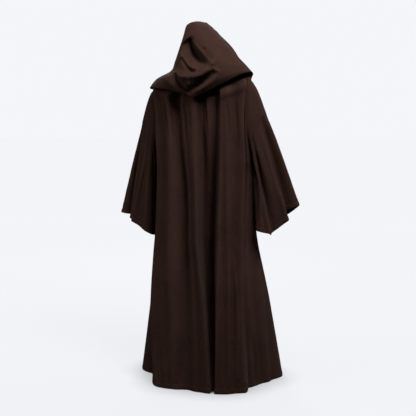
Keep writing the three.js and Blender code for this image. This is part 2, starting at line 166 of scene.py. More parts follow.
# The studio
FLOOR_RADIUS = 60.0
FLOOR_SIDES = 96
FLOOR_COLOUR = (0.11, 0.11, 0.11, 1)
FLOOR_LIGHT = (0.08, 0.08, 0.085, 1)  # what the floor throws back on the cloak
PALE = (0.905, 0.915, 0.95, 1)
FILL = 0.015
FLOOR_GLOW = (0.86, 0.985)  # near the cloak and far from it
GLOW_REACH = (1.2, 7.0)
SHADOW_REACH = 0.14  # how far out the soft shadow under the hem reaches
SHADOW_SKY = (0.45, 1.0)  # how open the floor is where that shadow is deepest, and where it ends
SHADOW_DEPTH = 0.62
INSIDE_SKY = (0.1, 0.4)  # the same for the dark inside the skirt
INSIDE_GLOW = 0.06  # what is left of the floor's glow inside the skirt
SKY_SAMPLES = 8
LIGHTS = [
    # name, place, aim, size, power
    ("key", (-1.8, 1.5, 2.6), (0, 0, 0.0), 1.6, 100),
    ("side", (2.4, 1.5, 0.8), (0, 0, -0.6), 2.0, 24),
    ("top", (-0.5, 1.0, 2.4), (0, 0, 0.1), 1.0, 18),
    ("front", (1.6, -3.0, 2.0), (0, 0, -0.5), 2.0, 110),
    ("front_side", (-2.4, -2.4, 1.0), (0, 0, -0.6), 2.0, 26),
]


def table(text):
    """A short table: the first line names the columns, and the first column names the rows."""
    header, *lines = [line.split() for line in text.strip().splitlines()]
    return [dict(zip(header, [cells[0], *map(float, cells[1:])])) for cells in lines]


def column(rows, name):
    """One column of a table."""
    return np.array([row[name] for row in rows])


# The body's rings, from the neckline to the hem, in millimetres: half widths, depths and heights.
BODY_RINGS = table("""
  name         left  right  back  front  z_left  z_right  z_back  z_front
  neck           80     80    68     76      24       30      34      -36
  slope         145    145   100     96       6       30       2      -66
  shoulder      228    220   134    112     -12       30     -40      -98
  sleeve_head   273    250   146    124     -30       14     -84     -130
  chest         264    256   152    138    -190     -180    -205     -215
  underarm      250    262   160    150    -360     -360    -360     -360
  waist         240    263   172    165    -520     -520    -520     -520
  hip           246    274   200    198    -770     -770    -770     -770
  knee          284    322   240    245   -1090    -1090   -1090    -1090
  hem           322    378   275    292   -1505    -1505   -1505    -1505
""")
RING = {ring["name"]: i for i, ring in enumerate(BODY_RINGS)}

# The lines that the body's folds run along, from the right side seam over the back to the left one. chest,
# hip, knee and hem say where a line runs, as a share of the half girth. out_* is how far the cloth stands
# out, in millimetres.
LEVELS = ("chest", "hip", "knee", "hem")
BACK_FOLDS = table("""
  name               chest     hip    knee     hem  out_chest  out_hip  out_knee  out_hem
  right_seam        -0.500  -0.500  -0.500  -0.500          0        6         8      -14
  side_rib          -0.474  -0.430  -0.390  -0.400         -2      -14        -6      -38
  side_valley       -0.444  -0.362  -0.305  -0.300        -32      -12         8      -30
  pleat_edge_right  -0.402  -0.316  -0.257  -0.250         10       20        28       32
  pleat_dip         -0.300  -0.270  -0.225  -0.210        -10        6        16       28
  pleat_top         -0.212  -0.216  -0.190  -0.170         14       28        34       34
  pleat_edge_left   -0.175  -0.158  -0.138  -0.121         14       30        34       30
  deep_valley       -0.146  -0.118  -0.118  -0.115        -30      -96       -98       -4
  small_rib         -0.085  -0.092  -0.103  -0.111        -10      -84       -86       -6
  small_valley      -0.050  -0.062  -0.090  -0.107        -26      -80       -78        0
  thin_rib          -0.003  -0.042  -0.080  -0.101         12       28        30       24
  small_gather       0.070   0.004  -0.036  -0.050         -8        0         6        8
  broad_valley       0.112   0.052   0.020   0.000        -30      -48       -32      -10
  panel_rib          0.176   0.165   0.120   0.070         12       10         8       10
  shoulder_valley    0.255   0.240   0.200   0.110         -2        8        12       20
  panel_edge         0.335   0.320   0.265   0.155          8       18        20       26
  step_valley        0.430   0.420   0.360   0.340        -10       -8       -34      -60
  left_seam          0.500   0.500   0.500   0.500          0        4         4       22
""")
LEFT_FOLDS = table("""
  name         chest    hip   knee    hem  out_chest  out_hip  out_knee  out_hem
  side_seam    0.500  0.500  0.500  0.500          0        4         4       22
  side_valley  0.580  0.575  0.570  0.570        -12      -16       -22      -26
  side_rib     0.660  0.655  0.650  0.650         10       14        20       28
  valley       0.740  0.740  0.740  0.740        -14      -18       -24      -30
  rib          0.820  0.825  0.830  0.835         10       14        20       26
  edge_valley  0.900  0.905  0.910  0.915        -10      -14       -18      -20
  free_edge    1.000  1.000  1.000  1.000          2        4         8       10
""")
RIGHT_FOLDS = table("""
  name          chest     hip    knee     hem  out_chest  out_hip  out_knee  out_hem
  side_seam    -0.500  -0.500  -0.500  -0.500          0        6         8      -14
  side_rib     -0.570  -0.580  -0.590  -0.604         -4        4        24       42
  valley       -0.660  -0.670  -0.680  -0.690        -14      -18       -24      -30
  rib          -0.760  -0.765  -0.770  -0.775         10       14        20       28
  edge_valley  -0.855  -0.860  -0.865  -0.870        -14      -18       -22      -26
  edge_rib     -0.930  -0.930  -0.935  -0.940          5        8        12       14
  free_edge    -1.000  -1.000  -1.000  -1.000          0       -2        -4       -6
""")

# Where each cuff's edge runs, in millimetres. round is the place on the sleeve's girth, from the top over
# the back.
RIGHT_CUFF = table("""
  name           round     x     y     z
  outer_top      0.000  -478   -96  -612
  outer_fold     0.120  -424   -38  -640
  before_corner  0.215  -445    12  -666
  back_corner    0.240  -450    24  -672
  after_corner   0.270  -435    36  -686
  before_lowest  0.360  -389    72  -728
  lowest         0.390  -374    84  -742
  after_lowest   0.420  -351    75  -737
  inner_back     0.500  -288    50  -724
  inner_front    0.680  -312  -120  -716
  front          0.840  -396  -192  -672
""")
LEFT_CUFF = table("""
  name           round    x     y     z
  outer_top      0.000  501   -96  -676
  outer_fold     0.120  422   -40  -688
  before_corner  0.215  395    21  -704
  back_corner    0.240  388    36  -708
  after_corner   0.270  366    34  -722
  lowest         0.390  276    24  -776
  inner_back     0.550  262   -70  -770
  inner_front    0.700  300  -190  -726
  front          0.860  396  -200  -686
""")

# The hood's rings, from the neck seam out over the shoulders, round the lower fold and up to the crown's
# ridge, in millimetres from each ring's middle.
HOOD_RINGS = table("""
  name       middle  left  right  back  front  side  edge  z_back  z_left  z_right  z_front  bow
  neck_seam       0    81     81    69     77     0    13      35      25       32      -35    0
  underlay        0   150    150   104    102     0    20      22      24       44      -46    2
  shoulder        0   228    218   142    124     0    28     -28       4       54      -76    4
  fold_in         0   264    244   160    136     4    33     -64     -12       58      -96    6
  fold_low        0   277    254   172    144     6    35     -74     -22       53     -100    8
  fold_out        0   277    258   180    150     8    38     -64     -16       56      -92    8
  cowl            0   236    250   194    158     8    50     -28      24       66      -40    8
  collar          0   158    224   194    160     6    74      34      62       94       34    6
  jaw             4   130    180   184    158     0    94     105     112      140      104    0
  ear            10    93    136   168    156    -6    98     170     176      190      168    0
  temple         14    64     90   150    140   -12    50     228     234      236      230    0
  crown          16    46     42   126    104   -14    24     278     290      282      282    0
  ridge          16     0      0   106     62   -20     0     296     314      314      316    0
""")
HOOD_RING = {ring["name"]: i for i, ring in enumerate(HOOD_RINGS)}

# The hood's deep folds, each a curve through three places. a is the place round the hood, from the centre
# back (0) to the front edge (1 on the left, -1 on the right). Heights, widths and depths are in millimetres.
HOOD_FOLDS = table("""
  name             a1   z1      a2   z2     a3   z3  width  lean  depth
  big_hollow     0.03  206   -0.04  132  -0.13   76     70   0.1    -58
  hollow_rib    -0.08  204  -0.135  142  -0.17   82     20     0     13
  smile_rib      0.12  150    0.03   78  -0.14   70     24     0     16
  small_hollow   0.11  122    0.05   78  -0.03   46     18     0    -22
  swag_rib       0.20   56    0.00   26  -0.14   62     24     0     18
  dark_hollow   -0.16   56   -0.06    2   0.03  -42     18   0.2    -38
  flap_hollow    0.17   48    0.07  -12   0.01  -60     11     0    -16
  panel_rib     -0.19   70   -0.12    8  -0.03  -52     20     0     10
  dimple        -0.17  168   -0.18  158  -0.19  148     12     0     -6
  swag_swell     0.10   30    0.02   -2   0.01  -34     26     0     10
  flap_rib       0.22   40    0.13  -14   0.07  -50     16     0      6
  crown_dip     -0.30  240   -0.34  170  -0.36   90     50     0     -6
  left_dip       0.42  200    0.45  120   0.44   40     46     0    -10
  left_rib       0.58  210    0.60  120   0.56   30     30     0      6
  right_dip     -0.56  210   -0.58  120  -0.54   40     46     0    -10
""")

# Finer creases of the body, from the gathers under the hood downwards. a is the share of the half girth.
BACK_CREASES = table("""
  name              a1     z1      a2     z2      a3     z3  width  depth
  gather_1       0.205   -100   0.196   -160   0.180   -250     12     -8
  gather_2       0.150   -105   0.150   -180   0.146   -280     10     -7
  gather_3       0.062   -105   0.058   -190   0.050   -300     12     -9
  gather_4       0.030   -105   0.026   -160   0.018   -230      9     -6
  gather_5      -0.026   -105  -0.030   -190  -0.040   -320     11     -9
  gather_6      -0.070   -105  -0.074   -170  -0.082   -260      9     -7
  gather_7      -0.215    -95  -0.222   -160  -0.230   -250     12     -7
  gather_8      -0.285    -90  -0.292   -170  -0.298   -280     14     -8
  shoulder_rib   0.290   -120   0.300   -260   0.310   -420     22      6
  arm_hollow    -0.400   -400  -0.385   -560  -0.365   -700     34    -24
  side_line     -0.245   -820  -0.240  -1100  -0.215  -1450     14      9
  pleat_seam    -0.185   -300  -0.190   -800  -0.165  -1450     16     -6
  rumple_1      -0.330   -690  -0.345   -730  -0.330   -775     14      4
  rumple_2      -0.345   -740  -0.330   -800  -0.335   -860     12     -4
  rumple_3      -0.170   -700  -0.200   -730  -0.230   -735     14     -3
  rumple_4      -0.190  -1230  -0.215  -1250  -0.240  -1240     14      3
  knee_dip       0.160   -980   0.130  -1180   0.120  -1400     60     -6
  hem_dip_1      0.060  -1250   0.050  -1380   0.052  -1500     26     -5
  hem_dip_2      0.230  -1240   0.220  -1380   0.225  -1500     30     -5
  hem_dip_3     -0.340  -1240  -0.350  -1380  -0.352  -1500     26     -6
  yoke_swell    -0.100    -82  -0.270    -36  -0.430      4     34     11
  yoke_swell_2   0.100    -82   0.270    -50   0.430    -30     30      6
""")

# The sleeves' creases. a is the place on the sleeve's girth, and z how far down the sleeve, from 0 to 1000.
RIGHT_SLEEVE_CREASES = table("""
  name               a1   z1     a2   z2     a3    z3  width  depth
  outer_hollow    0.080  260  0.085  760  0.120  1250     36    -28
  corner_rib      0.140  330  0.225  740  0.270  1250     20     16
  inner_hollow    0.330  180  0.350  640  0.370  1250     56    -36
  elbow_dip       0.260  120  0.300  300  0.340   460     26     -8
  inner_rib       0.410  420  0.440  760  0.455  1250     18      6
  underarm_swell  0.480  150  0.520  560  0.540  1000     40      6
  outer_rib       0.010  320  0.020  760  0.020  1250     22      8
  front_hollow    0.700  150  0.720  640  0.740  1250     44    -18
  front_rib       0.800  250  0.810  700  0.820  1250     26      9
""")
LEFT_SLEEVE_CREASES = table("""
  name              a1   z1     a2   z2     a3    z3  width  depth
  outer_hollow   0.040  260  0.085  760  0.110  1250     30    -26
  corner_rib     0.090  330  0.140  760  0.200  1250     16     12
  middle_hollow  0.200  120  0.260  560  0.290  1100     34    -12
  middle_rib     0.300  300  0.330  700  0.345  1200     20      7
  inner_hollow   0.340  120  0.400  560  0.430  1200     34    -12
  front_hollow   0.700  150  0.720  640  0.740  1250     40    -16
  front_rib      0.800  250  0.810  700  0.820  1250     26      8
""")

# Finer creases of the fronts. a is the share of the half girth.
FRONT_CREASES = table("""
  name                a1     z1      a2     z2      a3     z3  width  depth
  left_gather_1    0.700   -110   0.705   -200   0.700   -320     14     -6
  left_gather_2    0.790   -110   0.795   -180   0.800   -280     12     -5
  left_gather_3    0.880   -105   0.880   -210   0.885   -340     14     -6
  left_drag        0.640   -420   0.720   -560   0.760   -760     24     -6
  left_knee        0.860   -900   0.855  -1100   0.860  -1380     34     -8
  left_hem         0.620  -1180   0.610  -1340   0.615  -1500     28     -7
  right_gather_1  -0.690   -110  -0.695   -210  -0.690   -340     14     -6
  right_gather_2  -0.800   -110  -0.800   -180  -0.805   -290     12     -5
  right_gather_3  -0.890   -105  -0.890   -200  -0.895   -330     14     -6
  right_drag      -0.650   -430  -0.730   -580  -0.770   -780     24     -6
  right_knee      -0.810   -920  -0.815  -1120  -0.810  -1390     34     -8
  right_hem       -0.930  -1200  -0.925  -1350  -0.930  -1500     26     -6
""")

# The slow wandering of the hanging cloth: waves to a metre, where they start and how much each counts
WANDERINGS = table("""
  name    across  down  start  weight
  broad       10     3      0    1.00
  narrow      26     7      5    0.45
  small       60    34      9    0.16
""")


def spline(a, b, c, d, t):
    """The place at share t between b and c on a smooth curve through a, b, c and d."""
    return b + 0.5 * t * (c - a + t * (2 * a - 5 * b + 4 * c - d + t * (3 * (b - c) + d - a)))


def through(values, at):
    """A smooth curve through evenly spaced values, read at several places."""
    values = np.asarray(values, float)
    at = np.asarray(at, float)
    i = np.clip(np.floor(at).astype(int), 0, len(values) - 2)
    t = (at - i).reshape(at.shape + (1,) * (values.ndim - 1))
    before = values[np.maximum(i - 1, 0)]
    after = values[np.minimum(i + 2, len(values) - 1)]
    return spline(before, values[i], values[i + 1], after, t)


def lerp(a, b, t):
    return a + (b - a) * t


def smoothstep(x, low, high):
    t = np.clip((np.asarray(x, float) - low) / (high - low), 0, 1)
    return t * t * (3 - 2 * t)


def along(rings, name, at):
    """One of the rings' sizes at a place among them, in metres."""
    return through(column(rings, name), at) * MM


def creased(creases, across, height, girth):
    """How far creases stand out at each place of a cloth. girth is the length of one unit across."""
    out = np.zeros(np.broadcast(across, height).shape)
    s = np.linspace(0, 1, CREASE_STEPS + 1)
    weights = ((1 - s) * (1 - 2 * s), 4 * s * (1 - s), s * (2 * s - 1))
    for crease in creases:
        line_a = sum(w * crease[f"a{k}"] for w, k in zip(weights, (1, 2, 3))) * girth
        line_z = sum(w * crease[f"z{k}"] for w, k in zip(weights, (1, 2, 3))) * MM
        nearest = np.full(out.shape, np.inf)
        share = np.zeros(out.shape)
        side = np.zeros(out.shape)
        for k in range(CREASE_STEPS):
            from_a = across * girth - line_a[k]
            from_z = height - line_z[k]
            step_a = line_a[k + 1] - line_a[k]
            step_z = line_z[k + 1] - line_z[k]
            t = np.clip((from_a * step_a + from_z * step_z) / (step_a ** 2 + step_z ** 2), 0, 1)
            distance = np.hypot(from_a - t * step_a, from_z - t * step_z)
            closer = distance < nearest
            nearest = np.where(closer, distance, nearest)
            share = np.where(closer, (k + t) / CREASE_STEPS, share)
            side = np.where(closer, np.sign(from_a * step_z - from_z * step_a), side)
        width = crease["width"] * MM * (1 + crease.get("lean", 0) * side)
        strength = np.sqrt(np.clip(4 * share * (1 - share), 0, 1))
        out += crease["depth"] * MM * strength * np.exp(-FOLD_SOFTNESS * (nearest / width) ** 2)
    return out


def camera():
    """Looks along the photograph's direction. The axis lies a few pixels left of the middle."""
    data = bpy.data.cameras.new("view")
    data.sensor_width = SENSOR
    data.lens = SENSOR * FOCUS_PIXELS / PICTURE
    towards = Vector((-math.sin(CAMERA_TURN), math.cos(CAMERA_TURN), 0))
    right = towards.cross(Vector((0, 0, 1)))
    down = math.atan((PICTURE / 2 - HORIZON_ROW) / FOCUS_PIXELS)
    aside = (PICTURE / 2 - AXIS_COLUMN) / FOCUS_PIXELS
    look = towards + right * aside - Vector((0, 0, math.tan(down)))
    made = bpy.data.objects.new("view", data)
    made.location = -towards * CAMERA_DISTANCE + Vector((0, 0, CAMERA_HEIGHT))
    made.rotation_euler = look.to_track_quat("-Z", "Y").to_euler()
    bpy.context.scene.collection.objects.link(made)
    bpy.context.scene.camera = made


# The panels' surfaces

def body_points(around, at, out):
    """Points of the body's outer face, at a share of the half girth and a place among the rings."""
    sine = np.sin(np.pi * around)
    cosine = np.cos(np.pi * around)
    half = np.where(sine > 0, along(BODY_RINGS, "left", at), along(BODY_RINGS, "right", at))
    depth = np.where(cosine > 0, along(BODY_RINGS, "back", at), along(BODY_RINGS, "front", at))
    side_z = np.where(sine > 0, along(BODY_RINGS, "z_left", at), along(BODY_RINGS, "z_right", at))
    middle_z = np.where(cosine > 0, along(BODY_RINGS, "z_back", at), along(BODY_RINGS, "z_front", at))
    outward = np.stack([sine / half, cosine / depth], -1)
    outward /= np.linalg.norm(outward, axis=-1, keepdims=True)
    x = half * sine + outward[..., 0] * out
    y = depth * cosine + outward[..., 1] * out
    return np.stack([x, y, lerp(middle_z, side_z, sine ** 2)], -1)


def fall(at):
    """How far along its fall a fold has come, in steps of chest, hip, knee and hem."""
    upper = np.clip((at - RING["chest"]) / (RING["hip"] - RING["chest"]), 0, 1)
    return np.where(at < RING["hip"], upper, at - RING["hip"] + 1)


def fold_at(folds, place, at, shifted):
    """Where a panel's cloth runs across its fold lines, and how far it stands out there."""
    line = np.minimum(np.floor(place).astype(int), len(folds) - 2)
    share = place - line
    down = fall(at)
    runs = shifted(through(np.stack([column(folds, level) for level in LEVELS]), down))
    stands = through(np.stack([column(folds, "out_" + level) for level in LEVELS]), down) * MM
    around = lerp(runs[:, line], runs[:, line + 1], share)
    out = lerp(stands[:, line], stands[:, line + 1], smoothstep(share, 0, 1))
    return around, out * smoothstep(at, RING["slope"], RING["sleeve_head"])[:, None]


def armhole_spread(at):
    share = np.clip((at - RING["sleeve_head"]) / (RING["underarm"] - RING["sleeve_head"]), 0, 1)
    return ARMHOLE_SPREAD * np.sqrt(np.clip(1 - (2 * share - 1) ** 2, 0, 1))


def armhole_push(at):
    """How far the armhole presses the fold lines beside it towards the middle of their panel."""
    above = smoothstep(at, RING["shoulder"], RING["chest"])
    below = 1 - smoothstep(at, RING["chest"], (RING["waist"] + RING["hip"]) / 2)
    return ARMHOLE_SPREAD * above * below


def ring_places(rings, grain, sides):
    """Places among the rings, about a grain apart on the sides named."""
    places = [0.0]
    for i, (ring, after) in enumerate(zip(rings, rings[1:])):
        rise = after["z_back"] - ring["z_back"]
        span = max(math.hypot(after[side] - ring[side], rise) for side in sides)
        steps = max(LEAST_ROWS, round(span * MM / grain))
        places += [i + (k + 1) / steps for k in range(steps)]
    return places


def body_rows():
    """The rows' places among the rings, closer where the hem is stitched."""
    places = ring_places(BODY_RINGS, GRAIN, ["back"])
    hem = len(BODY_RINGS) - 1
    hem_share = HEM_DEPTH / ((BODY_RINGS[-2]["z_back"] - BODY_RINGS[-1]["z_back"]) * MM)
    plain = [at for at in places if at < hem - (NEAR_HEM[0] + HEM_ROWS_CLEAR) * hem_share]
    return np.array(plain + [hem - depths * hem_share for depths in NEAR_HEM])


def panel_places(folds, each, turned=False):
    """Places across the fold lines, closer together at both edges and at the stitches of a turned one."""
    last = len(folds) - 1
    places = [np.linspace(0, last, last * each + 1), NEAR_SEAM, last - NEAR_SEAM]
    if turned:
        places.append(last - NEAR_FRONT_STITCHES)
    return np.unique(np.concatenate(places).round(SHARE_DIGITS))


def body_panel(folds, place, at, shifted, creases):
    """A panel of the body, from its fold lines and its finer creases."""
    around, out = fold_at(folds, place, at, shifted)
    height = body_points(around, at[:, None], out)[..., 2]
    out = out + creased(creases, around, height, BODY_HALF_GIRTH)
    return body_points(around, at[:, None], out)


def back_panel():
    at = body_rows()
    place = panel_places(BACK_FOLDS, BACK_COLUMNS)

    def shifted(runs):
        edge = np.sign(runs) * (0.5 - armhole_spread(at)[:, None])
        inner = runs - armhole_push(at)[:, None] * (2 * runs) ** 3
        return np.where(np.abs(runs) == 0.5, edge, inner)

    return body_panel(BACK_FOLDS, place, at, shifted, BACK_CREASES)


def front_edge(at):
    opening = lerp(NECK_OPENING, HEM_OPENING, at / RING["hem"])
    return 1 - opening / (along(BODY_RINGS, "left", at) * np.pi)


def front_panel(side, folds):
    at = body_rows()
    place = panel_places(folds, FRONT_COLUMNS, turned=True)

    def shifted(runs):
        across = 2 - 2 * np.abs(runs)
        push = np.where(across == 1, armhole_spread(at)[:, None], armhole_push(at)[:, None] * across ** 3)
        return side * (lerp(front_edge(at)[:, None], 0.5, across) + push)

    points = body_panel(folds, place, at, shifted, FRONT_CREASES)
    return points if side > 0 else points[:, ::-1]


def armhole(side, count):
    """The armhole's edge, from the top of the arm down the back, through the underarm and up the front."""
    turn = np.linspace(0, 2 * np.pi, count, endpoint=False)
    middle = (RING["sleeve_head"] + RING["underarm"]) / 2
    at = middle - (RING["underarm"] - middle) * np.cos(turn)
    around = 0.5 - ARMHOLE_SPREAD * np.sin(turn)
    seam = BACK_FOLDS[-1 if side > 0 else 0]
    stands = through([seam["out_" + level] for level in LEVELS], fall(at)) * MM
    stands = stands * smoothstep(at, RING["slope"], RING["sleeve_head"])
    return body_points(side * around, at, stands + ARMHOLE_CLEARANCE)


def cuff_edge(cuff, around):
    """A smooth closed curve through a cuff's named points."""
    knots = column(cuff, "round")
    ends = np.append(knots[1:], 1.0)
    i = np.searchsorted(knots, around, side="right") - 1
    t = ((around - knots[i]) / (ends[i] - knots[i]))[:, None]
    spots = np.stack([column(cuff, axis) for axis in "xyz"], -1) * MM
    return spline(*(spots[(i + k) % len(cuff)] for k in (-1, 0, 1, 2)), t)


def sleeve_panel(side, cuff, creases):
    start = armhole(side, SLEEVE_COLUMNS)
    around = np.arange(SLEEVE_COLUMNS) / SLEEVE_COLUMNS
    end = cuff_edge(cuff, around)
    length = np.linalg.norm(end - start, axis=1).mean()
    near = np.array(NEAR_HEM) * HEM_DEPTH / length
    plain = np.linspace(0, 1, round(length / GRAIN))
    down = np.concatenate([plain[plain < 1 - near[0] - CUFF_ROWS_CLEAR], 1 - near])[:, None]
    top = np.maximum(0, np.cos(2 * np.pi * around)) ** 2
    lift = SLEEVE_HEAD_LIFT * top * (1 - np.exp(-SLEEVE_HEAD_QUICKNESS * down)) * (1 - down)
    points = lerp(start[None], end[None], down[..., None])
    points = points + lift[..., None] * np.array([side, 0, SLEEVE_HEAD_RISE])
    points = np.concatenate([points, points[:, :1]], axis=1)
    places = np.append(around, 1.0)[None]
    if side > 0:
        points = points[:, ::-1]
        places = places[:, ::-1]
    out = creased(creases, places, down, SLEEVE_GIRTH)
    return points + out[..., None] * outward_normals(points, closed=True)


def hood_panel(side):
    at = np.array(ring_places(HOOD_RINGS, HOOD_GRAIN, ["back", "left", "right"])[::-1])[:, None]
    share = np.concatenate([np.linspace(0, 1, HOOD_COLUMNS), NEAR_HOOD_STITCHES])
    share = np.unique(share.round(SHARE_DIGITS))[None]
    around = 0.5 * share * (1 + share)
    behind = around < 0.5
    angle = np.pi * np.where(behind, around, around - 0.5)
    sine = np.sin(angle)
    cosine = np.cos(angle)

    def ring(name):
        return along(HOOD_RINGS, name, at)

    half = ring("left" if side > 0 else "right")
    side_z = ring("z_left" if side > 0 else "z_right")
    cowl = np.clip(at / HOOD_RING["fold_in"], 0, 1) - smoothstep(at, HOOD_RING["jaw"], HOOD_RING["temple"])
    rise = sine ** lerp(2, COWL_V_LEFT if side > 0 else COWL_V_RIGHT, cowl)
    x = np.where(behind, half * sine, lerp(ring("edge"), half, cosine))
    y = np.where(behind, lerp(ring("side"), ring("back"), cosine), lerp(ring("side"), -ring("front"), sine))
    z = np.where(behind, lerp(ring("z_back"), side_z, rise), lerp(side_z, ring("z_front"), sine ** 2))
    turn = HOOD_TURN * smoothstep(z, HOOD_TURN_FROM, HOOD_TURN_TO)
    z = z + np.where(behind, ring("bow") * np.sin(2 * angle), 0)
    x = ring("middle") + side * x
    out = creased(HOOD_FOLDS, side * around, z, HOOD_HALF_GIRTH) * (at > HOOD_RING["fold_low"])
    x = x + side * np.sin(np.pi * around) * out
    y = y + np.cos(np.pi * around) * out
    points = np.stack([x * np.cos(turn) + y * np.sin(turn), y * np.cos(turn) - x * np.sin(turn), z], -1)
    return points if side > 0 else points[:, ::-1]


# The sewing and the lie of the cloth

def outward_normals(points, closed=False):
    """Rows run down and columns to the left as seen from outside."""
    down = np.gradient(points, axis=0)
    if closed:
        ring = np.concatenate([points[:, -2:-1], points, points[:, 1:2]], axis=1)
        across = (ring[:, 2:] - ring[:, :-2]) / 2
    else:
        across = np.gradient(points, axis=1)
    normal = np.cross(across, down)
    return normal / np.maximum(np.linalg.norm(normal, axis=-1, keepdims=True), TINY)


def edge_reach(points):
    """How far each point lies from each edge, measured over the cloth."""
    down = np.linalg.norm(np.diff(points, axis=0), axis=-1)
    across = np.linalg.norm(np.diff(points, axis=1), axis=-1)
    top = np.pad(np.cumsum(down, axis=0), ((1, 0), (0, 0)))
    first = np.pad(np.cumsum(across, axis=1), ((0, 0), (1, 0)))
    return {"top": top, "bottom": top[-1:] - top, "first": first, "last": first[:, -1:] - first}


def bump_at(distance, width):
    return np.exp(-(distance / width) ** 2)


def unevenness(points):
    """A slow wandering of the hanging cloth, taller than it is wide, mostly between -1 and 1."""
    out = np.zeros(points.shape[:2])
    for i, j in np.ndindex(out.shape):
        x, y, z = points[i, j]
        for wave in WANDERINGS:
            spot = Vector((x * wave["across"], y * wave["across"], z * wave["down"] + wave["start"]))
            out[i, j] += wave["weight"] * noise.noise(spot)
    return out


def inwards(points, middle):
    """The way into the cloak from each point, which is the same for both panels along a seam."""
    towards = np.array(middle) - points
    if middle == BODY_AXIS:
        towards[..., 2] = 0
    return towards / np.linalg.norm(towards, axis=-1, keepdims=True)


def turned_edge(reach, edge):
    """How far the cloth stands out along an edge that is turned and stitched, and gathers at its stitches."""
    away = reach[edge]
    from_stitches = away - HEM_DEPTH
    is_level = edge in ("top", "bottom")
    run = reach["first" if is_level else "top"]
    total = run.max(axis=1 if is_level else 0, keepdims=True)
    groups = round(total.mean() / PUCKER_LENGTH / PUCKER_GROUP)
    waves = 2 * PUCKER_GROUP * np.pi * groups * run / total
    pucker = np.sin(waves + PUCKER_WANDER * np.sin(waves / PUCKER_GROUP))
    pucker = pucker * bump_at(from_stitches, PUCKER_REACH)
    doubled = TURN_UP * smoothstep(-away, -HEM_DEPTH - TURN_STEP, -HEM_DEPTH + TURN_STEP)
    stitched = doubled - STITCH_DIP * bump_at(from_stitches, STITCH_DIP_WIDTH) + PUCKER * pucker
    return stitched - EDGE_ROLL * bump_at(away, EDGE_ROLL_WIDTH)


def sewn(points, closed, seams, turned, middle):
    """Lets the cloth hang unevenly, pulls it in at its seams, and turns and stitches its free edges."""
    reach = edge_reach(points)
    out = UNEVEN * unevenness(points)
    dip = np.zeros(out.shape)
    for edge in seams:
        out = out * smoothstep(reach[edge], 0, UNEVEN_CALM)
        dip = np.maximum(dip, SEAM_DIP * bump_at(reach[edge], SEAM_WIDTH))
    for edge in turned:
        turning = turned_edge(reach, edge)
        for seam in seams:
            turning = turning * smoothstep(reach[seam], 0, TURN_START)
        out = out + turning
    sunk = points + dip[..., None] * inwards(points, middle)
    return sunk + out[..., None] * outward_normals(points, closed)


def ridges(points, closed):
    """How much each place stands out of the cloth around it: 1 on a sharp ridge, -1 in a deep valley."""
    n = RIDGE_REACH
    if closed:
        wide = np.concatenate([points[:, -1 - n:-1], points, points[:, 1:1 + n]], axis=1)
    else:
        wide = np.pad(points, ((0, 0), (n, n), (0, 0)), mode="reflect", reflect_type="odd")
    around = (wide[:, :-2 * n] + wide[:, 2 * n:]) / 2
    stands = np.einsum("ijk,ijk->ij", points - around, outward_normals(points, closed))
    return np.clip(stands / RIDGE_HEIGHT, -1, 1)


def stitch_line(points, edge):
    """The places along a turned edge where its stitches lie, with the cloth's outward directions there."""
    away = edge_reach(points)[edge]
    normals = outward_normals(points)
    if edge in ("first", "last"):
        away, points, normals = away.T, points.transpose(1, 0, 2), normals.transpose(1, 0, 2)
    if away[-1].mean() < away[0].mean():
        away, points, normals = away[::-1], points[::-1], normals[::-1]
    j = np.arange(away.shape[1])
    i = np.argmax(away > HEM_DEPTH, axis=0)
    t = ((HEM_DEPTH - away[i - 1, j]) / (away[i, j] - away[i - 1, j]))[:, None]
    return lerp(points[i - 1, j], points[i, j], t), lerp(normals[i - 1, j], normals[i, j], t)


def between(values, run, place):
    """One of the values along a line, read at a place on its run."""
    return Vector([np.interp(place, run, values[:, k]) for k in range(3)])


def stitches(name, points, turned):
    """One short stitch of thread for each step along the turned edges."""
    bm = bmesh.new()
    for edge in turned:
        line, normals = stitch_line(points, edge)
        run = np.append(0, np.cumsum(np.linalg.norm(np.diff(line, axis=0), axis=1)))
        for place in np.arange(STITCH_STEP / 2, run[-1], STITCH_STEP):
            spot = between(line, run, place)
            normal = between(normals, run, place)
            way = (between(line, run, place + MM) - spot).normalized()
            normal = (normal - way * normal.dot(way)).normalized()
            turn = Matrix((way, normal.cross(way), normal)).transposed().to_4x4()
            shape = Matrix.Translation(spot) @ turn @ Matrix.Diagonal((*STITCH_SIZE, 1))
            bmesh.ops.create_icosphere(bm, subdivisions=1, radius=1, matrix=shape)
    for face in bm.faces:
        face.smooth = True
    return linked(name, bm)


def linked(name, bm):
    """A finished mesh as a piece of the scene."""
    mesh = bpy.data.meshes.new(name)
    bm.to_mesh(mesh)
    bm.free()
    piece = bpy.data.objects.new(name, mesh)
    bpy.context.scene.collection.objects.link(piece)
    return piece


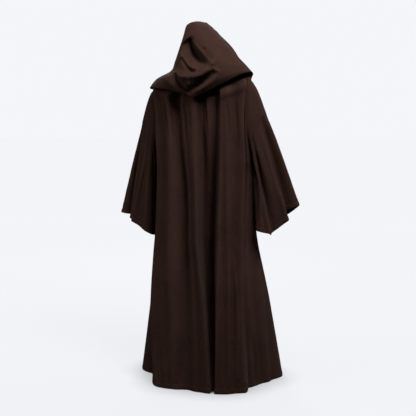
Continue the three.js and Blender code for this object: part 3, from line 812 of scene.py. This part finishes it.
def cloth_piece(name, points, closed, turned):
    """A sheet of cloth over a grid of outer points, with its flat map, its worn edges and its ridges for a
    painted highlight.
    """
    rows, columns = points.shape[:2]
    reach = edge_reach(points)
    u = reach["first"] - reach["first"][:, columns // 2][:, None]
    v = -reach["top"]
    ridge = ridges(points, closed)
    worn = np.zeros((rows, columns))
    for edge in turned:
        worn = np.maximum(worn, bump_at(reach[edge], WORN_EDGE))

    bm = bmesh.new()
    bmesh.ops.create_grid(bm, x_segments=columns - 1, y_segments=rows - 1, size=1)
    cut = bm.loops.layers.uv.new("cut")
    ridge_layer = bm.verts.layers.float.new("ridge")
    worn_layer = bm.verts.layers.float.new("worn_edge")
    spot = {}
    for vert in bm.verts:
        j = round((vert.co.x + 1) / 2 * (columns - 1))
        i = round((1 - vert.co.y) / 2 * (rows - 1))
        spot[vert] = (i, j)
    for face in bm.faces:
        face.smooth = True
        for loop in face.loops:
            i, j = spot[loop.vert]
            loop[cut].uv = (u[i, j], v[i, j])
    for vert, (i, j) in spot.items():
        vert.co = points[i, j]
        vert[ridge_layer] = ridge[i, j]
        vert[worn_layer] = worn[i, j]
    if closed:
        bmesh.ops.remove_doubles(bm, verts=bm.verts, dist=SAME_PLACE)
    # Columns run to the left, which turns the grid's faces inwards.
    bmesh.ops.reverse_faces(bm, faces=bm.faces)
    for rim in bm.edges:
        rim.smooth = not rim.is_boundary
    piece = linked(name, bm)
    wall = piece.modifiers.new("wall", "SOLIDIFY")
    wall.thickness = CLOTH
    wall.offset = -1
    return piece


# The finishes

def feed(tree, socket, value):
    """Links a socket to another one, or gives it a value of its own."""
    if isinstance(value, bpy.types.NodeSocket):
        tree.links.new(value, socket)
    elif value is not None:
        socket.default_value = value


def node(tree, kind, *values, inputs=None, **settings):
    """Adds a shader node. values fill its first inputs in order, and inputs fills others by name."""
    made = tree.nodes.new("ShaderNode" + kind)
    for name, value in settings.items():
        setattr(made, name, value)
    for socket, value in zip(made.inputs, values):
        feed(tree, socket, value)
    for name, value in (inputs or {}).items():
        feed(tree, made.inputs[name], value)
    return made


def colour_mix(tree, share, below, above):
    """Blends from the colour below to the one above. A Mix node's colours are its 7th and 8th inputs."""
    return node(tree, "Mix", share, *[None] * 5, below, above, data_type="RGBA").outputs[2]


def ranged(tree, value, span, results, **settings):
    """Moves a value from its own span to the span of the results."""
    return node(tree, "MapRange", value, *span, *results, **settings).outputs[0]


def group(name, takes, gives):
    """A new node group, with its inputs' and outputs' sockets."""
    tree = bpy.data.node_groups.new(name, "ShaderNodeTree")
    for label, kind in takes:
        tree.interface.new_socket(label, in_out="INPUT", socket_type="NodeSocket" + kind)
    for label, kind in gives:
        tree.interface.new_socket(label, in_out="OUTPUT", socket_type="NodeSocket" + kind)
    return tree, tree.nodes.new("NodeGroupInput").outputs, tree.nodes.new("NodeGroupOutput").inputs


def twill_group():
    """Slanting ribs of twill, each broken into its threads, on a map in metres."""
    takes_in = [("Cloth map", "Vector"), ("Rib size", "Float")]
    tree, takes, gives = group("twill_weave", takes_in, [("Height", "Float"), ("Tone", "Float")])
    fine = node(tree, "Math", WAVE_LENGTH, takes["Rib size"], operation="DIVIDE").outputs[0]
    wander = {"Scale": fine, **RIB_WANDER}
    ribs, threads = (
        node(tree, "TexWave", takes["Cloth map"], inputs=wander, bands_direction=way).outputs["Fac"]
        for way in ("DIAGONAL", "Y")
    )
    threads = ranged(tree, threads, WHOLE, THREAD_HEIGHT)
    height = node(tree, "Math", ribs, threads, operation="MULTIPLY").outputs[0]
    tree.links.new(height, gives["Height"])
    tree.links.new(ranged(tree, height, WHOLE, TWILL_TONE), gives["Tone"])
    return tree


def nap_group():
    """The brushed nap: fine fibres, small tufts, and broad patches where the cloth was brushed or rubbed."""
    gives_out = [(label, "Float") for label, scale, detail in NAP_SIZES]
    tree, takes, gives = group("brushed_nap", [("Place", "Vector")], gives_out)
    for label, scale, detail in NAP_SIZES:
        texture = node(tree, "TexNoise", inputs={
            "Vector": takes["Place"], "Scale": scale, "Detail": detail, "Roughness": NAP_ROUGHNESS,
        })
        tree.links.new(ranged(tree, texture.outputs["Fac"], NAP_SPREAD, WHOLE), gives[label])
    return tree


def fill_group(tree, made, inputs):
    """Places a node group in a material, with its own values."""
    box = tree.nodes.new("ShaderNodeGroup")
    box.node_tree = made
    for label, value in inputs.items():
        feed(tree, box.inputs[label], value)
    return box.outputs


def weighted(tree, values, weights):
    """Adds up the named values, each times its weight."""
    total = 0.0
    for label, weight in weights.items():
        total = node(tree, "Math", values[label], weight, total, operation="MULTIPLY_ADD").outputs[0]
    return total


def new_material(name):
    """A new material, with its nodes and its shader."""
    material = bpy.data.materials.new(name)
    material.use_nodes = True
    tree = material.node_tree
    return material, tree, tree.nodes["Principled BSDF"]


def bumped(tree, strength, distance, height):
    inputs = {"Strength": strength, "Distance": distance, "Height": height}
    return node(tree, "Bump", inputs=inputs).outputs["Normal"]


def finish_surface(tree, shader, colour, rough, bump, shine):
    """Fills the shader's inputs, of which shine holds those that stay the same all over."""
    for label, value in {"Base Color": colour, "Roughness": rough, "Normal": bump, **shine}.items():
        feed(tree, shader.inputs[label], value)


def cloth_material(twill, nap):
    """Heavy brown cloth in a fine twill with a short nap, paler with real wear along its turned edges and
    with a painted highlight along its ridges.
    """
    material, tree, shader = new_material("heavy_brown_cloth")
    place = node(tree, "TexCoord").outputs["Object"]
    cut = node(tree, "UVMap", uv_map="cut").outputs["UV"]
    weave = fill_group(tree, twill, {"Cloth map": cut, "Rib size": RIB_SIZE})
    brushed = fill_group(tree, nap, {"Place": place})
    values = {**dict(weave.items()), **dict(brushed.items())}
    for label in ("ridge", "worn_edge"):
        values[label] = node(tree, "Attribute", attribute_name=label).outputs["Fac"]
    tone = weighted(tree, values, TONE_WEIGHTS)
    plain = colour_mix(tree, tone, DARK_CLOTH, LIGHT_CLOTH)
    warm = colour_mix(tree, weighted(tree, values, WARM_WEIGHTS), plain, WARM_CLOTH)
    # Painted highlight along the ridges, a little less in valleys, with real wear along the turned edges
    wear_and_highlight = ranged(tree, weighted(tree, values, WEAR_AND_HIGHLIGHT_WEIGHTS), (0.0, FULL_WEAR_AND_HIGHLIGHT), (0.0, WEAR_AND_HIGHLIGHT_SHARE))
    colour = colour_mix(tree, wear_and_highlight, warm, WORN_AND_HIGHLIT_CLOTH)
    rough = ranged(tree, tone, WHOLE, CLOTH_ROUGHNESS)
    bump = bumped(tree, NAP_STRENGTH, NAP_HEIGHT, weighted(tree, values, HEIGHT_WEIGHTS))
    finish_surface(tree, shader, colour, rough, bump, CLOTH_SHINE)
    return material


def thread_material(nap):
    """Dark brown sewing thread, a little smoother than the cloth."""
    material, tree, shader = new_material("dark_brown_thread")
    place = node(tree, "TexCoord").outputs["Object"]
    brushed = fill_group(tree, nap, {"Place": place})
    colour = colour_mix(tree, weighted(tree, brushed, THREAD_WEIGHTS), DARK_THREAD, LIGHT_THREAD)
    rough = ranged(tree, brushed["Fibres"], WHOLE, THREAD_ROUGHNESS)
    bump = bumped(tree, THREAD_STRENGTH, THREAD_RELIEF, brushed["Fibres"])
    finish_surface(tree, shader, colour, rough, bump, THREAD_SHINE)
    return material


# The studio

def seen_only(tree, seen, lit):
    """A mix that shows one shader to the camera and lights the cloak with another."""
    seen_ray = node(tree, "LightPath").outputs["Is Camera Ray"]
    return node(tree, "MixShader", seen_ray, lit.outputs[0], seen.outputs[0]).outputs[0]


def bare_nodes(owner):
    """The emptied node tree of a material or a world."""
    owner.use_nodes = True
    owner.node_tree.nodes.clear()
    return owner.node_tree


def open_sky(tree, distance):
    """How open each place of the floor is to the sky, as far up as the distance."""
    sky = node(tree, "AmbientOcclusion", inputs={"Distance": distance}, samples=SKY_SAMPLES)
    return sky.outputs["AO"]


def floor_material():
    """A pale floor that glows evenly, but for the soft shadow at the hem and the dark inside the skirt."""
    material = bpy.data.materials.new("pale_floor")
    tree = bare_nodes(material)
    away = node(tree, "VectorMath", node(tree, "TexCoord").outputs["Object"], operation="LENGTH")
    glow = ranged(tree, away.outputs["Value"], GLOW_REACH, FLOOR_GLOW, interpolation_type="SMOOTHSTEP")
    shade = ranged(tree, open_sky(tree, SHADOW_REACH), SHADOW_SKY, (SHADOW_DEPTH, 1.0))
    under = open_sky(tree, LENGTH)
    inside = ranged(tree, under, INSIDE_SKY, (INSIDE_GLOW, 1.0), interpolation_type="SMOOTHSTEP")
    for share in (shade, inside):
        glow = node(tree, "Math", glow, share, operation="MULTIPLY").outputs[0]
    glow = node(tree, "Emission", PALE, glow)
    faint = node(tree, "BsdfDiffuse", FLOOR_COLOUR)
    seen = node(tree, "AddShader", glow.outputs[0], faint.outputs[0])
    lit = node(tree, "BsdfDiffuse", FLOOR_LIGHT)
    node(tree, "OutputMaterial", seen_only(tree, seen, lit))
    return material


def pale_floor():
    bm = bmesh.new()
    bmesh.ops.create_circle(bm, cap_ends=True, segments=FLOOR_SIDES, radius=FLOOR_RADIUS)
    bmesh.ops.translate(bm, verts=bm.verts, vec=(0, 0, -LENGTH - CLOTH))
    floor = linked("floor", bm)
    floor.data.materials.append(floor_material())


def surround():
    """Pale to the eye, with a faint fill on the cloak."""
    world = bpy.data.worlds.new("studio")
    tree = bare_nodes(world)
    seen = node(tree, "Background", PALE)
    fill = node(tree, "Background", PALE, FILL)
    node(tree, "OutputWorld", seen_only(tree, seen, fill))
    bpy.context.scene.world = world


def lights():
    """Soft round lamps: three behind the cloak and above it, and two in front."""
    for name, place, aim, size, power in LIGHTS:
        light = bpy.data.lights.new(name, "AREA")
        light.shape = "DISK"
        light.size = size
        light.energy = power
        lamp = bpy.data.objects.new(name, light)
        lamp.location = place
        lamp.rotation_euler = (Vector(aim) - Vector(place)).to_track_quat("-Z", "Y").to_euler()
        bpy.context.scene.collection.objects.link(lamp)


# The whole cloak

camera()
pale_floor()
surround()
lights()
nap = nap_group()
cloth = cloth_material(twill_group(), nap)
thread = thread_material(nap)

PANELS = [
    # name, surface, whether it is a tube, seams, turned edges
    ("back", back_panel(), False, ["top", "first", "last"], ["bottom"]),
    ("front_left", front_panel(1, LEFT_FOLDS), False, ["top", "first"], ["bottom", "last"]),
    ("front_right", front_panel(-1, RIGHT_FOLDS), False, ["top", "last"], ["bottom", "first"]),
    ("sleeve_left", sleeve_panel(1, LEFT_CUFF, LEFT_SLEEVE_CREASES), True, ["top"], ["bottom"]),
    ("sleeve_right", sleeve_panel(-1, RIGHT_CUFF, RIGHT_SLEEVE_CREASES), True, ["top"], ["bottom"]),
    ("hood_left", hood_panel(1), False, ["top", "first", "bottom"], ["last"]),
    ("hood_right", hood_panel(-1), False, ["top", "last", "bottom"], ["first"]),
]
for name, surface, closed, seams, turned in PANELS:
    middle = HOOD_MIDDLE if "hood" in name else BODY_AXIS
    points = sewn(surface, closed, seams, turned, middle)
    panel = cloth_piece(name + "_cloth", points, closed, turned)
    panel.data.materials.append(cloth)
    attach(panel, "root")
    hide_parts(name)
    sewing = stitches(name + "_stitches", points, turned)
    sewing.data.materials.append(thread)
    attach(sewing, "root")

bpy.context.scene.view_settings.view_transform = "Standard"
